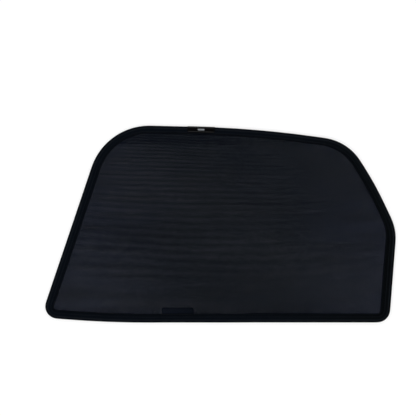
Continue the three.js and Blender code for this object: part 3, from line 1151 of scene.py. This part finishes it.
@dataclass
class SunMesh:
    """Open knitted mesh stretched inside the hem, built yarn by yarn."""

    rim: Rim
    pitch: float = 1.5 * MM
    weft_share: float = 0.82
    warp_share: float = 0.58
    base: float = 1.8 * MM
    middle: float = 2.1 * MM
    top: float = 2.4 * MM
    tucked: float = 5.5 * MM
    weft_step: float = 17 * MM
    warp_step: float = 44 * MM
    bow_middle: float = 0.11
    bow_left: float = 0.085
    bow_right: float = 0.55
    finest: float = 0.329
    widening: float = 0.0468
    fringe_share: float = 0.040
    sag: float = 3.2 * MM
    ruffle: float = 0.9 * MM
    side_calm: float = 30 * MM
    end_calm: float = 40 * MM
    lap: float = 0.05 * MM
    weft_uneven: float = 0.009
    warp_uneven: float = 0.01
    seed: int = 23
    area: float = 0.0
    size: tuple[float, float] = (0.0, 0.0)

    def drift(self, x: np.ndarray, y: float) -> np.ndarray:
        """How far a row bows from straight, at places x along it and y up the shade."""
        bow = self.sag * np.cos(x / 0.30 + 0.4) * (0.4 + y / 0.5)
        return bow + self.ruffle * np.sin(x / 0.093 + y / 0.051)

    def fringe(self, x: np.ndarray, y: float) -> np.ndarray:
        """Bowed lines in which the rows lie looser and tighter, close together above and wide below.

        Args:
            x: Places along one row.
            y: The row's place up the shade.

        Returns:
            From -1 where the row is thinnest to 1 where it is thickest.
        """
        off = x - self.bow_middle
        level = y - off * off * np.where(off < 0, self.bow_left, self.bow_right)
        unrest = 0.45 * np.sin(x / 0.061 + y / 0.047) + 0.2 * np.sin(x / 0.027 - y / 0.090 + 1.3)
        wave = np.sin(np.log(self.finest - level) * math.tau / self.widening + unrest)
        leftward = 0.5 + 0.5 * np.clip((0.16 - x) / 0.30, 0.0, 1.0)
        above = np.clip((y + 0.16) / 0.07, 0.15, 1.0) * (1 + 0.7 * np.clip(y / 0.15, 0.0, 1.0))
        return wave * leftward * above

    @staticmethod
    def span(loop: Places, level: float, axis: int) -> tuple[float, float] | None:
        """Where a line crosses a convex loop.

        Args:
            loop: The loop's points.
            level: The line's place on the other axis.
            axis: 0 for a line along X, 1 for one along Y.

        Returns:
            The line's two ends, or None where it misses the loop.
        """
        other = 1 - axis
        ends = np.roll(loop, -1, axis=0)
        cut = (loop[:, other] - level) * (ends[:, other] - level) < 0
        if cut.sum() < 2:
            return None
        share = (level - loop[cut, other]) / (ends[cut, other] - loop[cut, other])
        met = loop[cut, axis] + share * (ends[cut, axis] - loop[cut, axis])
        return float(met.min()), float(met.max())

    @staticmethod
    def yarn(line: Places, half: np.ndarray, low: float, high: float, axis: int) -> tuple[Places, list]:
        """One yarn as a closed four-sided tube.

        Args:
            line: The yarn's middle line in x and y.
            half: Half its width at each point.
            low: Its underside's height.
            high: Its top's height.
            axis: 0 for a yarn along X, 1 for one along Y.

        Returns:
            Its places and its faces.
        """
        count = len(line)
        places = np.zeros((count, 4, 3))
        places[:, :, :2] = line[:, None, :]
        middle = (low + high) / 2
        side = 1 - axis
        sign = 1.0 if axis == 0 else -1.0
        places[:, 0, side] += half * sign
        places[:, 2, side] -= half * sign
        places[:, :, 2] = (middle, high, middle, low)
        faces = [(0, 3, 2, 1)]
        for k in range(count - 1):
            for i in range(4):
                j = (i + 1) % 4
                faces.append((4 * k + i, 4 * k + j, 4 * k + 4 + j, 4 * k + 4 + i))
        last = 4 * (count - 1)
        faces.append((last, last + 1, last + 2, last + 3))
        return places.reshape(-1, 3), faces

    def wefts(self, rng: np.random.Generator, loop: Places) -> Iterator[tuple[Places, list]]:
        """The rows along the shade, one above another.

        Args:
            rng: The source of chance.
            loop: The mesh's outline.

        Yields:
            Each row's places and faces.
        """
        low, high = loop.min(axis=0), loop.max(axis=0)
        rows = int((high[1] - low[1]) / self.pitch)
        bars = ripple(rng, rows, 1.1) * 0.014 + ripple(rng, rows, 5.0) * 0.012
        for row in range(rows):
            y = low[1] + (row + 0.5) * self.pitch
            ends = self.span(loop, y, 0)
            if ends is None:
                continue
            x = np.linspace(*ends, max(3, int((ends[1] - ends[0]) / self.weft_step)))
            inside = np.minimum(1.0, np.minimum(x - ends[0], ends[1] - x) / self.side_calm)
            clear = min(1.0, (y - low[1]) / self.end_calm, (high[1] - y) / self.end_calm)
            line = np.stack([x, y + self.drift(x, y) * inside * clear], axis=1)
            uneven = rng.normal(0, self.weft_uneven, len(x))
            share = 1 + bars[row] + self.fringe(x, y) * self.fringe_share + uneven
            half = self.pitch * self.weft_share / 2 * share
            yield self.yarn(line, half, self.middle - self.lap, self.top, 0)

    def warps(self, rng: np.random.Generator, loop: Places) -> Iterator[tuple[Places, list]]:
        """The yarns up the shade, side by side under the rows.

        Args:
            rng: The source of chance.
            loop: The mesh's outline.

        Yields:
            Each yarn's places and faces.
        """
        low, high = loop.min(axis=0), loop.max(axis=0)
        columns = int((high[0] - low[0]) / self.pitch)
        bars = ripple(rng, columns, 4.0) * 0.02
        for column in range(columns):
            x = low[0] + (column + 0.5) * self.pitch
            ends = self.span(loop, x, 1)
            if ends is None:
                continue
            y = np.linspace(*ends, max(3, int((ends[1] - ends[0]) / self.warp_step)))
            line = np.stack([np.full(len(y), x), y], axis=1)
            share = 1 + bars[column] + rng.normal(0, self.warp_uneven, len(y))
            half = self.pitch * self.warp_share / 2 * share
            yield self.yarn(line, half, self.base, self.middle + self.lap, 1)

    def build(self) -> bpy.types.Object:
        """Lays the yarns both ways inside the hem, and measures the cloth.

        Returns:
            The mesh as one piece.
        """
        rng = np.random.default_rng(self.seed)
        loop = self.rim.from_rim(self.tucked)
        parts: list = []
        faces: list = []
        offset = 0
        for places, turns in chain(self.wefts(rng, loop), self.warps(rng, loop)):
            parts.append(places)
            faces += [tuple(i + offset for i in face) for face in turns]
            offset += len(places)
        width, height = loop.max(axis=0) - loop.min(axis=0)
        self.area = self.flat_area(loop)
        self.size = (float(height), float(width))
        return make_piece("sun_mesh_net", np.vstack(parts), faces, smooth=False)

    @staticmethod
    def flat_area(loop: Places) -> float:
        """The area inside a closed loop."""
        ahead = np.roll(loop, -1, axis=0)
        return float(abs(np.sum(loop[:, 0] * ahead[:, 1] - loop[:, 1] * ahead[:, 0])) / 2)

    def finish(self, obj: bpy.types.Object) -> None:
        dress(obj, KnitFinish().make(), "sun_mesh", "mesh_panel")


# Label, badge and tag


@dataclass
class Label:
    """Moulded label bent over the top hem, with a plain metal bar in its middle."""

    rim: Rim
    middle_x: float = -43.2 * MM
    length: float = 62 * MM
    thickness: float = 0.55 * MM
    border: float = 1.3 * MM
    raised: float = 0.16 * MM
    corner: float = 2.2 * MM
    under: float = 6.03 * MM
    inset: float = 13.7 * MM
    fold_middle: float = 3.1 * MM
    fold_radius: float = 3.36 * MM
    fold_steps: int = 18
    wrap_below: float = 40.0
    # Where across the label its two pale lines of painted highlight lie.
    lines: tuple[float, float] = (2.4 * MM, 11.7 * MM)
    badge_inset: float = 6.4 * MM
    badge_base: float = 0.32 * MM
    badge_size: tuple[float, float, float] = (15.8 * MM, 3.9 * MM, 0.55 * MM)

    def path(self) -> Places:
        """The label's underside across the hem, from its inner edge over the rim.

        Returns:
            Rows of distance from the rim and height.
        """
        points = [(self.inset, self.under), (5.6 * MM, self.under), (4.3 * MM, self.under + 0.22 * MM)]
        for step in range(self.fold_steps + 1):
            angle = math.radians(90 + (90 + self.wrap_below) * step / self.fold_steps)
            off = self.fold_radius * math.cos(angle)
            up = self.fold_radius * math.sin(angle)
            points.append((self.fold_middle + off, self.fold_middle + up))
        return np.array(points)

    def run(self) -> np.ndarray:
        """How far along the path each of its points is."""
        return np.concatenate([[0.0], np.cumsum(np.hypot(*np.diff(self.path(), axis=0).T))])

    def bend(self, places: Places) -> Places:
        """Bends a flat shape over the hem.

        Args:
            places: X along the hem, Y from the label's inner edge outwards, and Z above its underside.

        Returns:
            The places on the hem.
        """
        path = self.path()
        run = self.run()
        ahead = np.gradient(path, run, axis=0)
        ahead /= np.hypot(*ahead.T)[:, None]
        across = places[:, 1]
        inset = np.interp(across, run, path[:, 0])
        height = np.interp(across, run, path[:, 1])
        tilt_in = np.interp(across, run, ahead[:, 0])
        tilt_up = np.interp(across, run, ahead[:, 1])
        size = np.hypot(tilt_in, tilt_up)
        inset = inset + places[:, 2] * tilt_up / size
        height = height - places[:, 2] * tilt_in / size
        at = self.rim.station_near(self.middle_x, float(self.rim.outer[:, 1].max())) - places[:, 0]
        start = self.rim.around(self.rim.outer, at)
        inward = self.rim.around(self.rim.inward, at)
        return np.column_stack([start + inward * inset[:, None], height])

    def lay_out(self, width: float) -> bpy.types.Object:
        """Models the label's flat sheet, with a strip all round for its border.

        Args:
            width: The label's width before it is bent.

        Returns:
            The sheet, with square corners.
        """
        inner_length = self.length - 2 * self.border
        inner_width = width - 2 * self.border
        bpy.ops.object.select_all(action="DESELECT")
        bpy.ops.mesh.primitive_grid_add(x_subdivisions=44, y_subdivisions=22, size=1.0)
        obj = bpy.context.active_object
        obj.name = "label_patch"
        bpy.ops.object.mode_set(mode="EDIT")
        bpy.ops.mesh.select_all(action="SELECT")
        bpy.ops.transform.resize(value=(inner_length, inner_width, 1.0))
        bpy.ops.transform.translate(value=(0.0, width / 2, self.thickness))
        bpy.ops.mesh.select_mode(type="EDGE")
        bpy.ops.mesh.region_to_loop()
        bpy.ops.mesh.extrude_edges_move()
        bpy.ops.transform.resize(
            value=(self.length / inner_length, width / inner_width, 1.0),
            center_override=(0.0, width / 2, self.thickness),
        )
        bpy.ops.object.mode_set(mode="OBJECT")
        return obj

    def round_corners(self, obj: bpy.types.Object, width: float) -> None:
        """Draws the flat sheet's four corners in to round ones.

        Args:
            obj: The sheet.
            width: Its width.
        """
        places = read_places(obj)
        reach_x = self.length / 2 - self.corner
        reach_y = width / 2 - self.corner
        off_x = np.abs(places[:, 0]) - reach_x
        off_y = np.abs(places[:, 1] - width / 2) - reach_y
        distance = np.hypot(off_x, off_y)
        in_corner = (off_x > 0) & (off_y > 0) & (distance > 0)
        largest = np.maximum(off_x, off_y)
        pull = np.where(in_corner, largest / np.maximum(distance, 1e-9), 1.0)
        places[:, 0] = np.where(in_corner, np.sign(places[:, 0]) * (reach_x + off_x * pull), places[:, 0])
        side = np.sign(places[:, 1] - width / 2)
        places[:, 1] = np.where(in_corner, width / 2 + side * (reach_y + off_y * pull), places[:, 1])
        write_places(obj, places)

    def raise_border(self, obj: bpy.types.Object, width: float) -> None:
        """Raises the border of the thickened sheet.

        Args:
            obj: The sheet.
            width: Its width.
        """
        edge_x = self.length / 2 - self.border
        edge_y = width / 2 - self.border

        def on_border(face: bpy.types.MeshPolygon) -> bool:
            """Says whether a face is on top of the border."""
            centre = face.center
            beyond = abs(centre.x) > edge_x or abs(centre.y - width / 2) > edge_y
            return face.normal.z > 0.9 and beyond

        pick(obj)
        bpy.ops.object.mode_set(mode="EDIT")
        select_faces(obj, on_border)
        bpy.ops.mesh.extrude_region_move(TRANSFORM_OT_translate={"value": (0.0, 0.0, self.raised)})
        bpy.ops.mesh.select_all(action="SELECT")
        bpy.ops.mesh.normals_make_consistent(inside=False)
        bpy.ops.object.mode_set(mode="OBJECT")

    def build_patch(self) -> bpy.types.Object:
        """Models the label flat, with rounded corners and a raised border, and bends it over the hem.

        Returns:
            The label.
        """
        width = float(self.run()[-1])
        obj = self.lay_out(width)
        self.round_corners(obj, width)
        apply_modifier(obj, "SOLIDIFY", thickness=self.thickness, offset=-1.0)
        self.raise_border(obj, width)
        soften_edges(obj, 0.09 * MM, 2, 50)
        self.unroll(obj)
        write_places(obj, self.bend(read_places(obj)))
        obj.data.polygons.foreach_set("use_smooth", [True] * len(obj.data.polygons))
        pick(obj)
        bpy.ops.object.shade_smooth_by_angle(angle=math.radians(35))
        return obj

    @staticmethod
    def unroll(obj: bpy.types.Object) -> None:
        """Keeps a flat shape's places as its UV map, in metres."""
        for layer in list(obj.data.uv_layers):
            obj.data.uv_layers.remove(layer)
        layer = obj.data.uv_layers.new(name="patch")
        places = read_places(obj)
        corners = np.empty(len(obj.data.loops), dtype=int)
        obj.data.loops.foreach_get("vertex_index", corners)
        layer.data.foreach_set("uv", places[corners][:, :2].ravel())

    def build_badge(self) -> bpy.types.Object:
        """Models the bar with round ends, a sunk face and softened edges, and sets it on the label.

        Returns:
            The badge.
        """
        length, width, thickness = self.badge_size
        bpy.ops.object.select_all(action="DESELECT")
        bpy.ops.mesh.primitive_cube_add(size=1.0)
        obj = bpy.context.active_object
        obj.name = "badge_bar"
        bpy.ops.object.mode_set(mode="EDIT")
        bpy.ops.mesh.select_all(action="SELECT")
        bpy.ops.transform.resize(value=(length, width, thickness))
        select_edges(obj, lambda a, b: abs(a.z - b.z) > thickness / 2)
        bpy.ops.mesh.bevel(offset=width * 0.48, offset_type="OFFSET", segments=8)
        select_faces(obj, lambda face: face.normal.z > 0.9)
        bpy.ops.mesh.inset(thickness=0.5 * MM)
        bpy.ops.mesh.inset(thickness=0.15 * MM, depth=-0.14 * MM)
        bpy.ops.object.mode_set(mode="OBJECT")
        soften_edges(obj, 0.08 * MM, 2, 40)
        places = read_places(obj)
        places[:, 1] += self.inset - self.badge_inset
        places[:, 2] += thickness / 2 + self.badge_base
        write_places(obj, self.bend(places))
        pick(obj)
        bpy.ops.object.shade_smooth_by_angle(angle=math.radians(35))
        return obj

    def finish(self, patch: bpy.types.Object, badge: bpy.types.Object) -> None:
        """Dresses the label and its bar."""
        finish = PatchFinish().make(self.lines, self.length / 2 - self.border)
        dress(patch, finish, "label_rubber", "top_label")
        dress(badge, Metal.BADGE.make(), "badge_silver", "label_badge")


@dataclass
class Tag:
    """Ribbon tag tucked into the bottom hem, behind the mesh."""

    thickness: float = 0.36 * MM
    turned: float = 1.6 * MM
    wave: float = 0.10 * MM
    flat: tuple[float, float] = (0.0, 0.0)

    def build(self) -> bpy.types.Object:
        """Models the ribbon with a turned edge and a slight wave.

        Returns:
            The tag.
        """
        low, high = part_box("back_tag")
        centre = (low + high) / 2
        size = high - low
        bpy.ops.object.select_all(action="DESELECT")
        bpy.ops.mesh.primitive_grid_add(x_subdivisions=40, y_subdivisions=16, size=1.0)
        obj = bpy.context.active_object
        obj.name = "care_ribbon"
        bpy.ops.object.mode_set(mode="EDIT")
        bpy.ops.mesh.select_all(action="SELECT")
        bpy.ops.transform.resize(value=(size.x, size.y, 1.0))
        bpy.ops.object.mode_set(mode="OBJECT")
        apply_modifier(obj, "SOLIDIFY", thickness=self.thickness, offset=0.0)
        pick(obj)
        bpy.ops.object.mode_set(mode="EDIT")
        shown = size.y / 2 - self.turned
        select_faces(obj, lambda face: abs(face.normal.z) > 0.9 and face.center.y > shown)
        bpy.ops.transform.resize(value=(1.0, 1.0, 1.35), center_override=(0.0, 0.0, 0.0))
        bpy.ops.object.mode_set(mode="OBJECT")
        soften_edges(obj, 0.07 * MM, 1, 50)
        places = read_places(obj)
        free = np.clip(places[:, 1] / (size.y / 2), 0.0, 1.0)
        waves = np.sin(places[:, 0] / (7.5 * MM)) + np.sin(places[:, 0] / (17 * MM) + 1.0)
        places[:, 2] += waves * self.wave * free
        write_places(obj, places + np.array([centre.x, centre.y, centre.z - 0.02 * MM]))
        pick(obj)
        bpy.ops.object.shade_smooth_by_angle(angle=math.radians(40))
        self.flat = (float(size.y), float(size.x))
        return obj

    def finish(self, obj: bpy.types.Object) -> None:
        dress(obj, RibbonFinish().make(), "tag_cloth", "back_tag")


@dataclass
class Hardware:
    """Sprung wire, its sleeve and the magnets, all inside the hem and kept as packed."""

    nodes: dict[str, bpy.types.Object] = field(default_factory=dict)

    def magnets(self) -> list[bpy.types.Object]:
        """The magnets, in the order of their names."""
        return [self.nodes[name] for name in sorted(self.nodes) if name.startswith("magnet_")]

    def dress(self) -> None:
        """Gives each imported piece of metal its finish."""
        finishes = {"frame_wire": Metal.WIRE.make(), "wire_sleeve": Metal.SLEEVE.make()}
        plating = Metal.PLATING.make()
        for name, node in self.nodes.items():
            material = finishes.get(name, plating if name.startswith("magnet_") else None)
            if material is None:
                continue
            node.material_slots[0].material = material
            LOG.info("%s: packed shape, %s", name, material.name)


# Studio


@dataclass
class Studio:
    """White floor, plain soft light and a camera that looks straight down."""

    rim: Rim
    view_width: float = 0.9492
    aim: tuple[float, float] = (-0.0285, 0.0368)
    lens: float = 70.0
    sky: float = 0.66
    key: float = 40.0
    floor_white: float = 0.98
    floor_glow: float = 0.5
    floor_near: float = 0.65
    floor_far: float = 1.6

    def build(self) -> None:
        """Makes the floor, the light and the camera."""
        self.lay_floor()
        self.light()
        self.set_camera()
        bpy.context.scene.view_settings.view_transform = "Standard"

    def lay_floor(self) -> None:
        """Lays a wide white floor under the shade, and a matt white patch where the mesh lets it show."""
        bpy.ops.object.select_all(action="DESELECT")
        bpy.ops.mesh.primitive_plane_add(size=24.0, location=(0.0, 0.0, -0.3 * MM))
        floor = bpy.context.active_object
        floor.name = "floor"
        white = (self.floor_white,) * 3
        shader = Shader("white_floor", Base_Color=white, Roughness=1.0, Specular_IOR_Level=0.0)
        x, y, _ = shader.axes(shader.place())
        away = ((x * x + y * y) ** 0.5).ramp(self.floor_near, self.floor_far)
        seen = shader.seen() * (self.floor_glow + away * (1 - self.floor_glow))
        glow = shader.node("ShaderNodeEmission", {}, {"Strength": 1.0, "Color": (1.0, 1.0, 1.0)})
        lit = Signal(shader, shader.surface.outputs[0])
        whole = shader.node("ShaderNodeMixShader", {}, {0: seen, 1: lit, 2: glow})
        output = shader.tree.nodes["Material Output"]
        shader.tree.links.new(whole.socket, output.inputs["Surface"])
        floor.data.materials.append(shader.material)
        outline = self.rim.from_rim(4 * MM)
        places = np.column_stack([outline, np.full(len(outline), -0.15 * MM)])
        patch = make_piece("floor_patch", places, [tuple(range(len(places)))], smooth=False)
        matt = Shader("matt_white_floor", Base_Color=white, Roughness=1.0, Specular_IOR_Level=0.0)
        patch.data.materials.append(matt.material)

    def light(self) -> None:
        """Lights the scene with an even sky and two wide soft lamps."""
        world = bpy.data.worlds.new("sky")
        bpy.context.scene.world = world
        world.use_nodes = True
        background = world.node_tree.nodes["Background"]
        background.inputs["Color"].default_value = (1.0, 1.0, 1.0, 1.0)
        graph = Graph(world.node_tree)
        graph.feed(background.inputs["Strength"], graph.seen() * (1 - self.sky) + self.sky)
        self.lamp("key_lamp", (-1.5, -1.2, 2.6), 2.4, self.key)
        self.lamp("fill_lamp", (1.7, 1.5, 2.6), 2.6, self.key * 0.75)

    @staticmethod
    def lamp(name: str, place: tuple[float, float, float], size: float, power: float) -> None:
        """Adds a square soft lamp that faces the shade.

        Args:
            name: The lamp's name.
            place: Where it is.
            size: The length of its side.
            power: Its power in watts.
        """
        light = bpy.data.lights.new(name, "AREA")
        light.shape = "SQUARE"
        light.size = size
        light.energy = power
        lamp = bpy.data.objects.new(name, light)
        bpy.context.collection.objects.link(lamp)
        lamp.location = place
        lamp.rotation_euler = (-Vector(place)).to_track_quat("-Z", "Y").to_euler()

    def set_camera(self) -> None:
        """Sets the camera over the photograph's middle."""
        data = bpy.data.cameras.new("camera")
        data.lens = self.lens
        data.sensor_width = 36.0
        camera = bpy.data.objects.new("camera", data)
        bpy.context.collection.objects.link(camera)
        height = self.view_width * self.lens / data.sensor_width
        camera.location = (self.aim[0], self.aim[1], height + 3.5 * MM)
        camera.rotation_euler = (0.0, 0.0, 0.0)
        data.clip_start = 0.05
        data.clip_end = 60.0
        bpy.context.scene.camera = camera


def main() -> None:
    """Builds the shade's pieces in order, then the studio."""
    logging.basicConfig(level=logging.INFO, format="%(name)s %(message)s")
    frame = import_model()
    rim = Rim.from_hem(frame["nodes"]["edge_binding"])
    LOG.info("rim: %d stations, %.3f m round, hem %.1f to %.1f mm", len(rim.along), rim.length,
             rim.width.min() / MM, rim.width.max() / MM)
    hardware = Hardware(frame["nodes"])
    hardware.dress()
    hem = Hem(rim, hardware.magnets())
    hem.finish(hem.build())
    seam = Seam(rim)
    seam.finish(seam.build())
    sun_mesh = SunMesh(rim)
    sun_mesh.finish(sun_mesh.build())
    label = Label(rim)
    label.finish(label.build_patch(), label.build_badge())
    tag = Tag()
    tag.finish(tag.build())
    Studio(rim).build()


if __name__ == "__main__":
    main()
